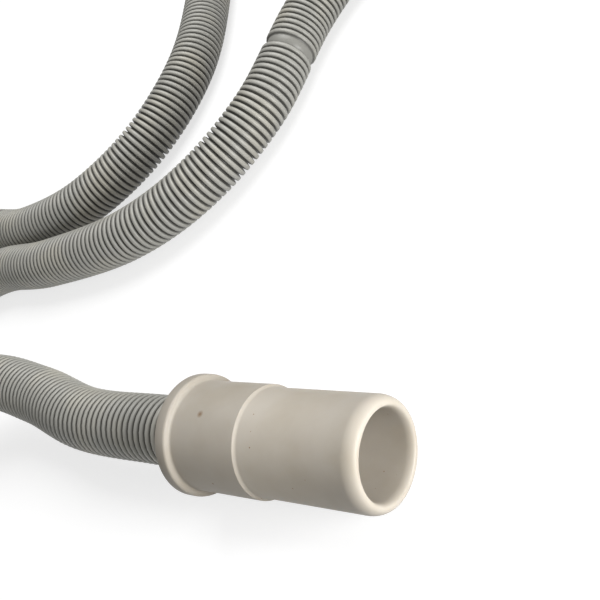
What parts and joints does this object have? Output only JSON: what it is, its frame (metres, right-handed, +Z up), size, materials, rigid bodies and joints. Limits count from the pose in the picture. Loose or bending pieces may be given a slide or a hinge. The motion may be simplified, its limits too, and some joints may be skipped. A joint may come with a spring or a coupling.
{
  "type": "dishwasher drain hose",
  "caption": "Corrugated drain hose with a stepped, flanged push-on cuff on its outlet end and a plain cuff on its inlet end, lying in loose loops.",
  "frame": {"origin": "middle of the floor that the lying hose covers, at floor height", "axes": "+Z up from the floor, +X from the outlet cuff's flange towards its mouth, +Y across, so that the outlet cuff lies at low Y"},
  "size_m": [0.4637, 0.5211, 0.0569],
  "materials": {
    "hose_plastic": "satin",
    "cuff_rubber": "matte"
  },
  "bodies": {
    "root": {"corrugated_hose": "hose_plastic", "outlet_cuff": "cuff_rubber", "inlet_cuff": "cuff_rubber"}
  },
  "joints": []
}
